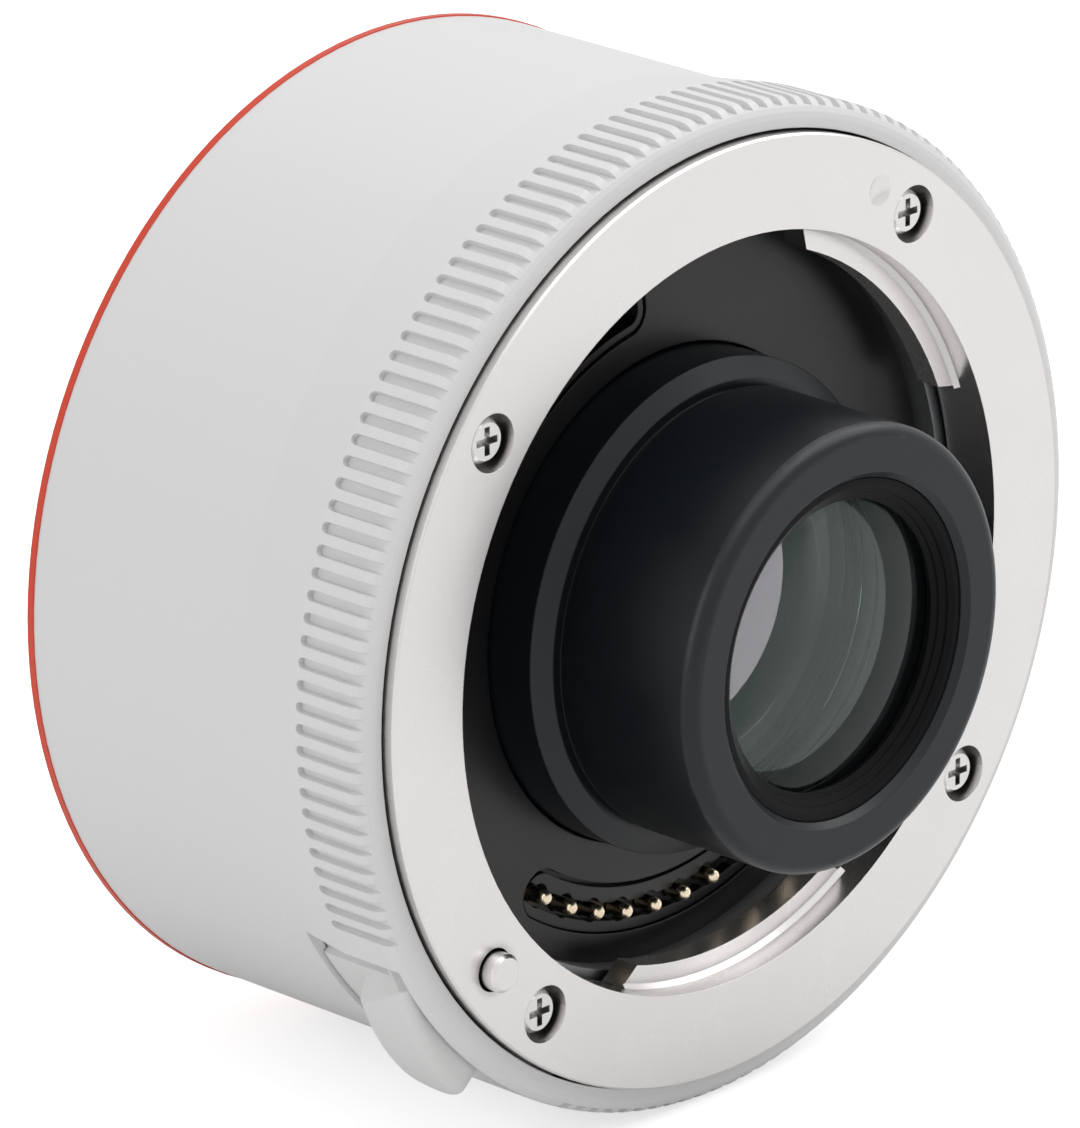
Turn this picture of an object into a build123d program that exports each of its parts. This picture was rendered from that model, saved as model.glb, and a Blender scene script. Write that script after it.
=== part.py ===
from build123d import *
from math import cos, pi, radians, sin, sqrt
import os

os.makedirs("parts", exist_ok=True)

# Teleconverter for a mirrorless camera, modelled as the separate pieces that it comes apart into.
# The optical axis is Y. The side that takes the lens faces -Y and the camera is on the +Y side.
# The origin is the centre of the camera-side flange. +Z is up as the teleconverter sits on a camera.
# Angles are in degrees about the axis, looking at the lens side, from +X towards +Z.
# A depth is counted from the lens-side face towards the camera.

# Whole body
body_length = 29.2          # from flange to flange
barrel_r = 29.9
barrel_wall = 1.0
grip_step = 0.7             # how far the grip band stands out of the plain barrel
proud = 0.75                # how far the lens-side ring stands out of the barrel
rear_proud = 0.85           # how far the camera-side plate stands out of the barrel
fit_gap = 0.1               # between pieces that are pushed together
side_gap = 0.25             # between pieces that move past each other
overrun = 1.0               # how far a cutting shape reaches past what it cuts

# Bayonet, the same on both sides
throat_r = 23.05
lug_inner_r = 21.65
lug_recess = 1.8
lug_height = 1.6
lug_spans = ((21.0, 71.0), (135.7, 185.7), (250.3, 300.3))
lug_root_slope = 0.3        # small slope between a lug's face and the throat's wall
lug_slant = 2.5             # how much earlier a lug's inner arc ends than its outer one
mount_r = 28.75
mount_plate = 2.0
mount_boss_r = 24.6
mount_chamfer = 0.12
screw_circle_r = 25.95
screw_angles = (53.8, 142.2, 231.4, 322.5)
lock_circle_r = 26.1
lock_angle = 218.4

# Mount screws
screw_head_r = 1.42
screw_head_height = 0.8
screw_head_bevel = 0.3
screw_seat_r = 1.75
screw_seat_depth = 1.25
screw_shank_r = 0.85
screw_length = 3.5
cross_length = 1.7
cross_width = 0.42
cross_depth = 0.45
thread_gap = 0.05           # between a screw's shank and its hole

# Index dimple in the lens-side ring
index_circle_r = 26.2
index_angle = 62.0
index_r = 0.95
index_depth = 0.25

# Grip band with its row of small grooves
grip_round = 1.1
grip_round_angles = (-90, -72, -54, -36, -18, 0)
grip_length = 5.25
grip_flare = 5.0            # length of the cone between the band and the plain barrel
groove_count = 146
groove_width = 0.64
groove_depth = 0.42
groove_rear = 5.85          # depth of the grooves' rounded rear ends
groove_end_angles = (-90, -54, -18, 18, 54, 90)
plain_span = (207.0, 243.5)

# Window in the barrel for the lever
slot_start = 209.4
slot_end = 238.0
slot_front = 1.7
slot_rear = 9.5

# Red ring at the rear edge of the barrel
trim_width = 0.45
trim_proud = 0.08

# Lip inside the barrel that is clamped between the frame and the camera-side mount
clamp_lip = 1.2
clamp_lip_r = 27.8

# Release lever
lever_travel = 3.5          # about the optical axis, towards smaller angles
lever_start = 213.4
lever_end = 233.2
lever_front = 2.0
lever_rear = 9.4
tongue_front = 2.3
tongue_rear = 10.2
tongue_start = 207.4
tongue_end = 243.0
tongue_sunk = 0.45          # how far the tongue lies below the lever's plate
tongue_end_gap = 0.5        # degrees between the tongue's ends and those of its room in the barrel
paddle_start = 213.1
paddle_middle = 222.6
paddle_end = 231.6
paddle_height = 2.6
paddle_arch_end = 235.0     # where the arched top would end without the paddle's rounded far end
paddle_start_share = 0.35   # heights of the arched top, in shares of the paddle's height
paddle_middle_share = 0.85
paddle_end_share = 0.97
paddle_front = 2.0
paddle_rear = 6.6
paddle_round = 0.7
paddle_root = 0.6           # how far the paddle reaches into the lever's plate
ramp_slope = 61.0           # of the flat facet at the paddle's low end
ramp_skew = 23.0            # how far that facet is turned away from the axis
ramp_angle = 214.3          # where that facet's upper edge passes at the depth below
ramp_depth = 3.7
ramp_height = 1.1

# Lock pin
pin_r = 1.17
pin_proud = 1.0
pin_travel = 1.4
pin_round = 0.2
pin_collar_r = 1.5
pin_collar_front = 7.0
pin_collar = 0.8
pin_tail_r = 0.6
pin_tail_rear = 13.4
pin_hole_r = 1.32

# Forked cam that the lever drives and that draws the lock pin back
cam_plate = 0.8
cam_inner_r = 24.35
cam_outer_r = 27.85
cam_start = 211.0
cam_end = 233.0
fork_half_width = 1.3
tab_start = 226.0
tab_thickness = 0.4
tab_rear = 9.6
lever_screw_angles = (227.6, 231.2)
lever_screw_depth = 8.3
lever_screw_r = 0.4
lever_screw_head_r = 0.7
lever_screw_head = 0.35
lever_screw_length = 1.5

# Pocket in the frame for the lock's parts
pocket_inner_r = 24.1
pocket_start = 197.5
pocket_end = 237.0
pocket_front = 4.9

# Coil springs, wound from square wire
lock_spring_r = 0.92
lock_spring_wire = 0.22
lock_spring_turns = 5
lever_spring_r = 0.9
lever_spring_wire = 0.25
lever_spring_turns = 5
lever_spring_circle_r = 25.8
spring_gap = 0.05           # between a spring's end and its seat
spring_end_gap = 0.15

# Leaf spring ring behind the lugs
leaf_thickness = 0.25
leaf_depth = 3.5
leaf_inner_r = 23.25
leaf_outer_r = 24.5
leaf_arm_inner_r = 22.1
leaf_arm_outer_r = 23.0
leaf_arm_margin = 6.0
leaf_foot = 5.0

# Main frame
frame_bore_r = 24.7
frame_flange_r = 27.9
frame_flange_rear = 6.2
shelf_front = 3.95
shelf_r = 22.5
frame_wall_r = 27.5
frame_inner_r = 26.2
web_front = 12.0
web = 1.6
web_inner_r = 15.7
ledge_front = 20.8
ledge_r = 23.8
rear_flange_r = 28.6
rear_flange = 1.6
frame_rear_r = 27.6
guide_r = 0.72
cable_slot_inner_r = 20.1
cable_slot_outer_r = 21.9
cable_slot_span = (258.5, 281.5)
front_hole_rear = 5.3
rear_hole_length = 3.4

# Black plate in the lens-side throat, with the slot for the contacts and a curved window
baffle_depth = 5.5
baffle_plate = 0.8
baffle_r = 23.4
baffle_bore_r = 15.2
contact_slot_span = (231.6, 308.4)
window_inner_r = 17.6
window_outer_r = 21.2
window_span = (97.9, 141.0)
window_round = 0.8
window_rim = 0.42           # land between the window and the fine groove round it
window_groove = 0.28
window_groove_depth = 0.45

# Spring contacts on the lens side
contact_count = 10
contact_circle_r = 19.33
contact_pitch = 7.54
contact_middle = 270.0
contact_r = 0.46
contact_tip_round = 0.32
contact_tip_depth = 4.8
contact_collar_r = 0.7
contact_collar_front = 6.9
contact_collar = 0.4
contact_hole_r = 0.56
contact_channel_end = 0.8
contact_leaf_width = 0.8
contact_leaf_reach = 1.1
contact_leaf_thickness = 0.1
slot_inner_reach = 1.71     # from the contacts' circle to the slot's inner edge
slot_outer_reach = 1.42
block_front = 5.62
block_rear = 9.0
block_inner_gap = 0.3
block_outer_gap = 0.1
block_end_gap = 0.25
channel_inner_reach = 0.48  # from the contacts' circle to the edges of the channel in the block's face
channel_outer_reach = 0.64
channel_depth = 0.8
scallop_r = 0.75            # where the channel widens round each contact
spring_channel_gap = 0.15
block_ledge_front = 6.45
block_ledge_rear = 7.4
block_ledge = 0.5
board_thickness = 0.5

# Nose barrel
nose_r = 13.5
nose_length = 8.85          # how far it stands out of the lens-side face
nose_round = 0.85
nose_mouth = 0.4            # chamfer at the front edge of the bore
nose_bore_r = 10.3
nose_base_r = 15.04
nose_base_depth = 2.3
nose_chamfer_r = 13.85
nose_chamfer_depth = 1.6
nose_groove_r = 13.25
nose_groove_depth = 1.1
nose_neck_r = 14.2
nose_neck_depth = 8.0
nose_lip = 0.9
nose_lip_r = 9.3

# Front retaining ring
retainer_sunk = 0.45
retainer_length = 1.2
retainer_mouth = 1.05       # depth of the funnel
retainer_front_r = 9.85
retainer_rear_r = 8.77
retainer_step_shares = (0, 0.35, 0.7, 1.0)
retainer_step = 0.12        # height of the fine steps in the funnel

# Optical cell behind the nose
cell_r = 15.4
cell_rear_r = 13.3
cell_bore_r = 11.6
cell_lip = 1.0
cell_lip_r = 10.5
cell_flange_r = 19.6
cell_flange = 1.4
cell_screw_circle_r = 17.8
cell_screw_angles = (30.0, 150.0, 215.0, 325.0)
cell_screw_r = 0.6
cell_screw_head_r = 1.1
cell_screw_head = 0.6
cell_screw_length = 2.4
cell_rear_depth = 26.4
rear_retainer_length = 1.2
rear_retainer_r = 10.4

# Glass, in five cemented or single groups. A shape is (front curve, rear curve, centre thickness)
# in shares of the group's own radius. A curve is positive where its centre lies towards the
# camera, and zero is flat.
glass_gap = 0.05            # between a glass edge and its bore or seat
spacer_wall = 0.9
front_spacer_length = 2.6
rear_spacer_length = 2.4
front_glass_share = (3.4, 0, 0.38)
second_glass_share = (-4.2, 0, 0.55)
third_glass_share = (0, 2.4, 0.14)
fourth_glass_share = (3.2, 0, 0.5)
rear_glass_share = (0, 4.0, 0.2)

# Camera-side mount
rear_plate = 2.2
rear_mount_r = 28.6
tube_r = 21.5
tube_bore_r = 20.75
tube_length = 5.0
tab_r = 22.3
tab_height = 1.5
notch_r = 1.35
notch_depth = 1.6
rear_screw_length = 3.9

# Camera-side light baffle
mask_front = 2.4            # from the camera-side flange
mask_plate = 0.8
mask_width = 22.0
mask_height = 16.0
mask_round = 2.0
mask_skirt_r = 16.9
mask_skirt_wall = 0.8
mask_skirt_length = 5.0
mask_cut_r = 17.6
mask_cut_span = (229.8, 310.2)

# Camera-side contacts
rear_block_span = (231.5, 308.5)
rear_block_inner_r = 17.9
rear_block_outer_r = 20.6
rear_block_front = 22.4
rear_block_end = 4.9        # from the camera-side flange
rear_foot_r = 23.3
rear_foot = 1.2
pad_length = 1.8
pad_width = 1.5
pad_thickness = 0.12

# Circuit board
main_board_r = 25.9
main_board_inner_r = 17.2
main_board = 0.8
main_board_span = (-52.0, 232.0)
board_screw_circle_r = 25.0
board_screw_angles = (20.0, 110.0, 200.0)
board_screw_r = 0.5
board_screw_head_r = 0.8
board_screw_head = 0.45
board_screw_length = 2.4

# Flexible cable between the contacts
cable_width = 7.0
cable_thickness = 0.2
cable_r = 21.0
cable_foot = 2.0

# Values worked out from the sizes above
lens_face = -body_length
band_front = lens_face + proud
band_rear = band_front + grip_length
barrel_rear = -rear_proud - trim_width
trim_r = barrel_r + trim_proud
lug_rear = lug_recess + lug_height
frame_rear = body_length - rear_plate
web_rear = web_front + web
guide_rear = pin_tail_rear + pin_travel + side_gap
barrel_bore_r = barrel_r - barrel_wall
grip_r = barrel_r + grip_step
lever_r = barrel_r - fit_gap
tongue_r = lever_r - tongue_sunk
tongue_inner_r = frame_flange_r + side_gap
cam_front = pin_collar_front - cam_plate - fit_gap
cam_slope_start = lock_angle + (pin_collar_r + fit_gap) / lock_circle_r * 180 / pi
board_rear = block_rear + board_thickness
contact_slot_inner_r = contact_circle_r - slot_inner_reach
contact_slot_outer_r = contact_circle_r + slot_outer_reach
block_inner_r = contact_slot_inner_r + block_inner_gap
block_outer_r = contact_slot_outer_r - block_outer_gap
block_turn = block_end_gap / contact_circle_r * 180 / pi
block_span = (contact_slot_span[0] + block_turn, contact_slot_span[1] - block_turn)
channel_turn = contact_channel_end / contact_circle_r * 180 / pi
nose_glass_r = nose_bore_r - glass_gap
cell_glass_r = cell_bore_r - glass_gap
retainer_front = lens_face - nose_length + retainer_sunk
retainer_rear = retainer_front + retainer_length
cell_front = lens_face + nose_neck_depth
cell_rear = lens_face + cell_rear_depth
cell_flange_rear = web_rear + cell_flange


def behind(depth):
    """The Y coordinate at a depth behind the lens-side face."""
    return lens_face + depth


def front_plane(y):
    """A plane that faces the lens side, with local x on +X and local y on +Z."""
    return Plane(origin=(0, y, 0), x_dir=(1, 0, 0), z_dir=(0, -1, 0))


def polar(radius, angle):
    """A point on a circle about the axis, in the front plane's own coordinates."""
    return (radius * cos(radians(angle)), radius * sin(radians(angle)))


def facing_lens(radius, angle, y):
    """A plane at a place on a circle about the axis, facing the lens side."""
    x, z = polar(radius, angle)
    return Plane(origin=(x, y, z), x_dir=(1, 0, 0), z_dir=(0, -1, 0))


def facing_camera(radius, angle, y):
    """A plane at a place on a circle about the axis, facing the camera."""
    x, z = polar(radius, angle)
    return Plane(origin=(x, y, z), x_dir=(1, 0, 0), z_dir=(0, 1, 0))


def sector(inner, outer, start, end, slant=0):
    """A stretch of ring between two angles. With a slant its inner arc is shorter at both ends."""
    with BuildSketch() as shape:
        with BuildLine():
            far = CenterArc((0, 0), outer, start, end - start)
            near = CenterArc((0, 0), inner, start + slant, end - start - 2 * slant)
            Line(far @ 0, near @ 0)
            Line(far @ 1, near @ 1)
        make_face()
    return shape.sketch


def curved_slot(inner, outer, start, end):
    """A curved slot with full-round ends that reach from one angle to another."""
    middle, end_r = (inner + outer) / 2, (outer - inner) / 2
    end_turn = end_r / middle * 180 / pi
    with BuildSketch() as shape:
        add(sector(inner, outer, start + end_turn, end - end_turn))
        with Locations(polar(middle, start + end_turn), polar(middle, end - end_turn)):
            Circle(end_r)
    return shape.sketch


def window_shape(growth=0):
    """The curved window with its rounded corners, grown all round."""
    with BuildSketch() as shape:
        add(sector(window_inner_r, window_outer_r, *window_span))
        fillet(shape.vertices(), window_round)
        if growth:
            offset(amount=growth)
    return shape.sketch


def ring_section(inner, outer, front, rear):
    """Half a ring's section, for a turn about the optical axis."""
    with BuildSketch() as shape:
        with BuildLine():
            Polyline((inner, front), (outer, front), (outer, rear), (inner, rear), close=True)
        make_face()
    return shape.sketch


def radial_plane(angle):
    """A plane through the axis, with local x outward at the angle and local y on +Y."""
    turn = radians(angle)
    return Plane(origin=(0, 0, 0), x_dir=(cos(turn), 0, sin(turn)), z_dir=(-sin(turn), 0, cos(turn)))


def radially(radius, angle, y):
    """A plane at a place on a cylinder about the axis, facing outward."""
    x, z = polar(radius, angle)
    return Plane(origin=(x, y, z), x_dir=(0, 1, 0), z_dir=(cos(radians(angle)), 0, sin(radians(angle))))


def along_lock(radius, y, facing):
    """A plane over the lock pin's place, with local x towards larger angles."""
    turn = radians(lock_angle)
    x, z = polar(radius, lock_angle)
    return Plane(origin=(x, y, z), x_dir=(-sin(turn), 0, cos(turn)), z_dir=facing)


def sag(curve, radius):
    """How far a spherical surface falls back between its middle and a radius."""
    if curve == 0:
        return 0
    fall = abs(curve) - sqrt(curve**2 - radius**2)
    return fall if curve > 0 else -fall


def seat_drop(curve, radius, seat_r):
    """How far the edge of a bulging surface lies behind the seat that it rests on."""
    return abs(sag(curve, radius)) - abs(sag(curve, seat_r))


def rear_edge(front, radius, shape):
    """The Y coordinate of a glass's rear edge, from that of its front edge."""
    front_curve, rear_curve, thickness = (share * radius for share in shape)
    return front - sag(front_curve, radius) + thickness + sag(rear_curve, radius)


def glass_section(front, radius, shape):
    """Half the section of a glass whose front edge lies at the given Y coordinate."""
    front_curve, rear_curve, thickness = (share * radius for share in shape)
    front_middle = front - sag(front_curve, radius)
    rear_middle = front_middle + thickness
    rear = rear_middle + sag(rear_curve, radius)
    half = radius / 2
    with BuildSketch() as section:
        with BuildLine():
            if front_curve:
                front_half = (half, front_middle + sag(front_curve, half))
                ThreePointArc((0, front_middle), front_half, (radius, front))
            else:
                Line((0, front_middle), (radius, front))
            Line((radius, front), (radius, rear))
            if rear_curve:
                rear_half = (half, rear_middle + sag(rear_curve, half))
                ThreePointArc((radius, rear), rear_half, (0, rear_middle))
            else:
                Line((radius, rear), (0, rear_middle))
            Line((0, rear_middle), (0, front_middle))
        make_face()
    return section.sketch


def coil(radius, wire, length, turns):
    """A coil spring of square wire along Z, with its lower end at the origin."""
    rise = length - wire
    with BuildPart() as spring:
        with BuildLine() as path:
            Helix(pitch=rise / turns, height=rise, radius=radius)
        with BuildSketch(Plane(origin=path.line @ 0, z_dir=path.line % 0)):
            Rectangle(wire, wire)
        sweep(path=path.line, is_frenet=True)
    return Pos(0, 0, wire / 2) * spring.part


def screw(head_r, head_height, bevel, shank_r, length, cross=False):
    """A screw along Z with the underside of its head at the origin."""
    with BuildPart() as shape:
        Cylinder(head_r, head_height, align=(Align.CENTER, Align.CENTER, Align.MIN))
        if bevel:
            chamfer(shape.edges().sort_by(Axis.Z)[-1], bevel)
        Cylinder(shank_r, length, align=(Align.CENTER, Align.CENTER, Align.MAX))
        if cross:
            with BuildSketch(Plane.XY.offset(head_height)):
                Rectangle(cross_length, cross_width)
                Rectangle(cross_width, cross_length)
            extrude(amount=-cross_depth, mode=Mode.SUBTRACT)
    return shape.part


# Lens-side bayonet ring: a flange, a boss behind it and three lugs that reach into the throat
with BuildPart() as front_mount_ring:
    with BuildSketch(Plane.XY):
        add(ring_section(throat_r, mount_r, lens_face, behind(mount_plate)))
        add(ring_section(throat_r, mount_boss_r, behind(mount_plate), behind(lug_rear)))
    revolve(axis=Axis.Y)
    rim = front_mount_ring.edges().filter_by(GeomType.CIRCLE).group_by(Axis.Y)[0]
    chamfer(rim.sort_by(SortBy.RADIUS)[-1], mount_chamfer)
    with BuildSketch(front_plane(behind(lug_rear))):
        for lug_start, lug_end in lug_spans:
            add(sector(lug_inner_r, throat_r + fit_gap, lug_start, lug_end, lug_slant))
    extrude(amount=lug_height)
    for lug_start, lug_end in lug_spans:
        with BuildSketch(radial_plane(lug_start)):
            with BuildLine():
                Polyline(
                    (throat_r + fit_gap, behind(lug_recess)),
                    (throat_r - lug_root_slope, behind(lug_recess)),
                    (throat_r, behind(lug_recess - lug_root_slope)),
                    (throat_r + fit_gap, behind(lug_recess - lug_root_slope)),
                    close=True,
                )
            make_face()
        revolve(axis=Axis((0, 0, 0), (0, -1, 0)), revolution_arc=lug_end - lug_start)
    with BuildSketch(front_plane(lens_face)):
        with Locations(*[polar(screw_circle_r, angle) for angle in screw_angles]):
            Circle(screw_seat_r)
    extrude(amount=-screw_seat_depth, mode=Mode.SUBTRACT)
    with BuildSketch(front_plane(lens_face)):
        with Locations(*[polar(screw_circle_r, angle) for angle in screw_angles]):
            Circle(screw_shank_r + fit_gap)
        with Locations(polar(lock_circle_r, lock_angle)):
            Circle(pin_hole_r)
    extrude(amount=-mount_plate, mode=Mode.SUBTRACT)
    dimple_r = (index_r**2 + index_depth**2) / (2 * index_depth)
    dimple_x, dimple_z = polar(index_circle_r, index_angle)
    with Locations((dimple_x, lens_face - dimple_r + index_depth, dimple_z)):
        Sphere(dimple_r, mode=Mode.SUBTRACT)
front_mount_ring.part.label = "front_mount_ring"
export_step(front_mount_ring.part, "parts/front_mount_ring.step")

# The four identical screws that hold the lens-side ring to the frame
front_screw = screw(
    screw_head_r, screw_head_height, screw_head_bevel, screw_shank_r, screw_length, cross=True
)
with BuildPart() as front_mount_screws:
    for angle in screw_angles:
        add(facing_lens(screw_circle_r, angle, behind(screw_seat_depth)).location * front_screw)
front_mount_screws.part.label = "front_mount_screws"
export_step(front_mount_screws.part, "parts/front_mount_screws.step")

# Cutter for one groove of the grip band: straight walls, a flat bottom and a rounded rear end
with BuildPart() as groove_cutter:
    with BuildSketch(radially(grip_r - groove_depth, 0, 0)):
        with BuildLine():
            groove_side = groove_width / 2
            groove_end = behind(groove_rear) - groove_side
            rounded_end = [
                (groove_end + groove_side * cos(radians(turn)), groove_side * sin(radians(turn)))
                for turn in groove_end_angles
            ]
            Polyline(
                (lens_face, -groove_side),
                *rounded_end,
                (lens_face, groove_side),
                close=True,
            )
        make_face()
    extrude(amount=groove_depth + overrun)

# Barrel shell: a plain tube that flares into the grip band, with a clamping lip near its rear
with BuildPart() as outer_barrel:
    with BuildSketch(Plane.XY):
        with BuildLine():
            round_r, round_y = grip_r - grip_round, band_front + grip_round
            corner = [
                (round_r + grip_round * cos(radians(turn)), round_y + grip_round * sin(radians(turn)))
                for turn in grip_round_angles
            ]
            Polyline(
                (barrel_bore_r, band_front),
                *corner,
                (grip_r, band_rear),
                (barrel_r, band_rear + grip_flare),
                (barrel_r, barrel_rear),
                (barrel_bore_r, barrel_rear),
                (barrel_bore_r, behind(frame_rear)),
                (clamp_lip_r, behind(frame_rear)),
                (clamp_lip_r, behind(frame_rear - clamp_lip)),
                (barrel_bore_r, behind(frame_rear - clamp_lip)),
                (barrel_bore_r, band_front),
            )
        make_face()
    revolve(axis=Axis.Y)
    groove_pitch = 360 / groove_count
    groove_angles = [
        k * groove_pitch
        for k in range(groove_count)
        if not plain_span[0] < k * groove_pitch < plain_span[1]
    ]
    add([groove_cutter.part.rotate(Axis.Y, -angle) for angle in groove_angles], mode=Mode.SUBTRACT)
    with BuildSketch(front_plane(behind(slot_rear))):
        add(sector(barrel_bore_r - fit_gap, grip_r + overrun, slot_start, slot_end))
    extrude(amount=slot_rear - slot_front, mode=Mode.SUBTRACT)
    with BuildSketch(front_plane(behind(tongue_rear + side_gap))):
        room_start, room_end = tongue_start - lever_travel - tongue_end_gap, tongue_end + tongue_end_gap
        add(sector(barrel_bore_r - fit_gap, tongue_r + fit_gap, room_start, room_end))
    extrude(amount=tongue_rear + side_gap - tongue_front + fit_gap, mode=Mode.SUBTRACT)
outer_barrel.part.label = "outer_barrel"
export_step(outer_barrel.part, "parts/outer_barrel.step")

# Thin red ring on the barrel's rear end
with BuildPart() as rear_trim_ring:
    with BuildSketch(Plane.XY):
        add(ring_section(barrel_bore_r, trim_r, barrel_rear, -rear_proud))
    revolve(axis=Axis.Y)
rear_trim_ring.part.label = "rear_trim_ring"
export_step(rear_trim_ring.part, "parts/rear_trim_ring.step")

# Leaf spring ring behind the lugs: three arms that press a lens's tabs towards the camera
with BuildPart() as bayonet_spring:
    with BuildSketch(front_plane(behind(leaf_depth + leaf_thickness))):
        Circle(leaf_outer_r)
        Circle(leaf_inner_r, mode=Mode.SUBTRACT)
        for lug_start, lug_end in lug_spans:
            arm_start, arm_end = lug_start + leaf_arm_margin, lug_end - leaf_arm_margin
            add(sector(leaf_arm_inner_r, leaf_arm_outer_r, arm_start, arm_end))
            add(sector(leaf_arm_inner_r, leaf_inner_r + fit_gap, arm_start, arm_start + leaf_foot))
    extrude(amount=leaf_thickness)
bayonet_spring.part.label = "bayonet_spring"
export_step(bayonet_spring.part, "parts/bayonet_spring.step")

# Lock pin that holds a lens in place, with a collar for the cam and a tail for its spring
with BuildPart() as lock_pin:
    with BuildSketch(Plane.XY):
        with BuildLine():
            pin_tip = lens_face - pin_proud
            Polyline(
                (0, pin_tip),
                (pin_r - pin_round, pin_tip),
                (pin_r, pin_tip + pin_round),
                (pin_r, behind(pin_collar_front)),
                (pin_collar_r, behind(pin_collar_front)),
                (pin_collar_r, behind(pin_collar_front + pin_collar)),
                (pin_tail_r, behind(pin_collar_front + pin_collar)),
                (pin_tail_r, behind(pin_tail_rear)),
                (0, behind(pin_tail_rear)),
                (0, pin_tip),
            )
        make_face()
    revolve(axis=Axis.Y)
lock_x, lock_z = polar(lock_circle_r, lock_angle)
lock_pin.part.position = (lock_x, 0, lock_z)
lock_pin.part.label = "lock_pin"
export_step(lock_pin.part, "parts/lock_pin.step")

# Coil spring between the lock pin's collar and the frame's web
lock_spring_front = pin_collar_front + pin_collar + spring_gap
lock_spring_length = web_front - spring_gap - lock_spring_front
lock_coil = coil(lock_spring_r, lock_spring_wire, lock_spring_length, lock_spring_turns)
with BuildPart() as lock_pin_spring:
    add(facing_camera(lock_circle_r, lock_angle, behind(lock_spring_front)).location * lock_coil)
lock_pin_spring.part.label = "lock_pin_spring"
export_step(lock_pin_spring.part, "parts/lock_pin_spring.step")

# The lever's paddle: an arched bar whose far end is round, with a slanted flat facet at its low end
with BuildPart() as paddle:
    with BuildSketch(front_plane(behind(paddle_rear))):
        with BuildLine():
            low = polar(lever_r + paddle_start_share * paddle_height, paddle_start)
            middle = polar(lever_r + paddle_middle_share * paddle_height, paddle_middle)
            high = polar(lever_r + paddle_end_share * paddle_height, paddle_arch_end)
            ThreePointArc(low, middle, high)
            near_root = polar(lever_r - paddle_root, paddle_start)
            far_root = polar(lever_r - paddle_root, paddle_arch_end)
            Polyline(high, far_root, near_root, low)
        make_face()
    extrude(amount=paddle_rear - paddle_front)
    paddle_width = paddle_rear - paddle_front
    paddle_reach = (lever_r + paddle_height) * sin(radians(paddle_end - paddle_middle))
    with BuildSketch(radially(0, paddle_middle, behind(paddle_front + paddle_width / 2))):
        with Locations((0, paddle_reach - paddle_width / 2)):
            Circle(paddle_width / 2)
            Rectangle(paddle_width, 2 * paddle_reach, align=(Align.CENTER, Align.MAX))
    extrude(amount=grip_r + paddle_height + overrun, mode=Mode.INTERSECT)
    top_face = paddle.faces().filter_by(GeomType.CYLINDER).sort_by(SortBy.AREA)[-1]
    fillet(top_face.edges().filter_by(GeomType.LINE, reverse=True), paddle_round)
    ramp_out = Vector(cos(radians(ramp_angle)), 0, sin(radians(ramp_angle)))
    ramp_along = Vector(-sin(radians(ramp_angle)), 0, cos(radians(ramp_angle)))
    ramp_back = Vector(0, 1, 0) * sin(radians(ramp_skew)) - ramp_along * cos(radians(ramp_skew))
    ramp_facing = ramp_back * sin(radians(ramp_slope)) + ramp_out * cos(radians(ramp_slope))
    ramp_x, ramp_z = polar(lever_r + ramp_height, ramp_angle)
    ramp_plane = Plane(origin=(ramp_x, behind(ramp_depth), ramp_z), z_dir=ramp_facing)
    split(bisect_by=ramp_plane, keep=Keep.BOTTOM)

# Release lever: a tongue that runs under the barrel, a plate that fills the window, and a paddle
with BuildPart() as release_lever:
    add(paddle.part)
    with BuildSketch(front_plane(behind(lever_rear))):
        add(sector(tongue_inner_r, lever_r, lever_start, lever_end))
    extrude(amount=lever_rear - lever_front)
    with BuildSketch(front_plane(behind(tongue_rear))):
        add(sector(tongue_inner_r, tongue_r, tongue_start, tongue_end))
    extrude(amount=tongue_rear - tongue_front)
    for angle in lever_screw_angles:
        with BuildSketch(radially(tongue_inner_r - fit_gap, angle, behind(lever_screw_depth))):
            Circle(lever_screw_r + thread_gap)
        extrude(amount=lever_screw_length, mode=Mode.SUBTRACT)
release_lever.part.label = "release_lever"
export_step(release_lever.part, "parts/release_lever.step")

# Forked cam: a plate in front of the lock pin's collar, with a slope on each side of its slot
with BuildPart() as lever_cam_plate:
    cam_rear = cam_front + cam_plate
    with BuildSketch(front_plane(behind(cam_rear))):
        add(sector(cam_inner_r, cam_outer_r, cam_start, cam_end))
    extrude(amount=cam_plate)
    slope_foot = lock_circle_r * radians(cam_slope_start - lock_angle)
    slope_top = slope_foot + lock_circle_r * radians(lever_travel)
    slope_end = lock_circle_r * radians(tab_start - lock_angle)
    inward = (-cos(radians(lock_angle)), 0, -sin(radians(lock_angle)))
    with BuildSketch(along_lock(lock_circle_r + pin_collar_r, 0, inward)):
        with BuildLine():
            Polyline(
                (slope_foot, behind(cam_rear)),
                (slope_top, behind(cam_rear + pin_travel)),
                (slope_end, behind(cam_rear + pin_travel)),
                (slope_end, behind(cam_rear)),
                close=True,
            )
        make_face()
    extrude(amount=2 * pin_collar_r)
    with BuildSketch(front_plane(behind(tab_rear))):
        add(sector(tongue_inner_r - tab_thickness, tongue_inner_r, tab_start, cam_end))
    extrude(amount=tab_rear - cam_front)
    with BuildSketch(along_lock(lock_circle_r, behind(tab_rear), (0, -1, 0))):
        fork_reach = slope_end + overrun
        with Locations((fork_reach / 2, 0)):
            Rectangle(fork_reach, 2 * fork_half_width)
        Circle(fork_half_width)
    extrude(amount=tab_rear - cam_front, mode=Mode.SUBTRACT)
    for angle in lever_screw_angles:
        with BuildSketch(radially(tongue_inner_r - overrun, angle, behind(lever_screw_depth))):
            Circle(lever_screw_r + thread_gap)
        extrude(amount=2 * overrun, mode=Mode.SUBTRACT)
lever_cam_plate.part.label = "lever_cam_plate"
export_step(lever_cam_plate.part, "parts/lever_cam_plate.step")

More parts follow.
